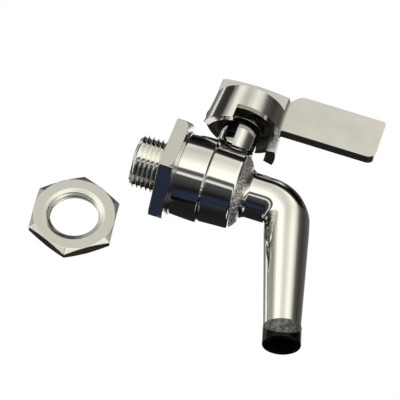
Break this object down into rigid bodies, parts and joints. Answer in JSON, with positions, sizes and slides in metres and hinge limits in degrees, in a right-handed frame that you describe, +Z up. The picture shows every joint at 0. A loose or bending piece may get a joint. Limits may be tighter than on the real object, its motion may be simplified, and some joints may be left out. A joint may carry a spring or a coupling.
{
  "type": "beverage dispenser spigot",
  "caption": "Quarter-turn ball valve spigot in polished steel, with a threaded inlet shank, a flat upright lever, a tapered elbow spout with a black tip and a loose lock nut.",
  "frame": {"origin": "on the valve body's axis, in the plane of the hexagon's sealing face on the inlet side", "axes": "+X with the flow out of the vessel, +Z up along the lever's stem, +Y across; the blade lies along +X when the valve is open"},
  "size_m": [0.1193, 0.0378, 0.1088],
  "materials": {
    "polished_steel": "mirror polished stainless steel",
    "satin_steel": "finely brushed stainless steel with polished edges",
    "turned_steel": "turned stainless steel with fine concentric marks",
    "weld": "rough cleaned weld",
    "ball_steel": "polished ball",
    "stem_steel": "turned stainless steel",
    "seat_plastic": "white fluoroplastic",
    "o_ring_rubber": "black nitrile rubber",
    "tip_plastic": "glossy black plastic with a dull grey end"
  },
  "bodies": {
    "body": {"inlet_end": "polished_steel", "valve_body": "polished_steel", "body_seal": "seat_plastic", "inlet_seat": "seat_plastic", "outlet_seat": "seat_plastic", "thrust_washer": "seat_plastic", "packing_ring": "seat_plastic", "gland_nut": "stem_steel", "weld_bead": "weld", "spout": "polished_steel", "drip_tip": "tip_plastic", "lock_nut": "turned_steel"},
    "lever_assembly": {"lever": "satin_steel", "stem": "stem_steel", "ball": "ball_steel", "lower_o_ring": "o_ring_rubber", "upper_o_ring": "o_ring_rubber", "spring_washer": "stem_steel", "lever_screw": "polished_steel"}
  },
  "joints": [
    {"name": "lever_turn", "type": "hinge", "parent": "body", "child": "lever_assembly", "pos_m": [0.0217, 0, 0], "axis": [0, 0, 1], "range_deg": [0, 90]}
  ]
}
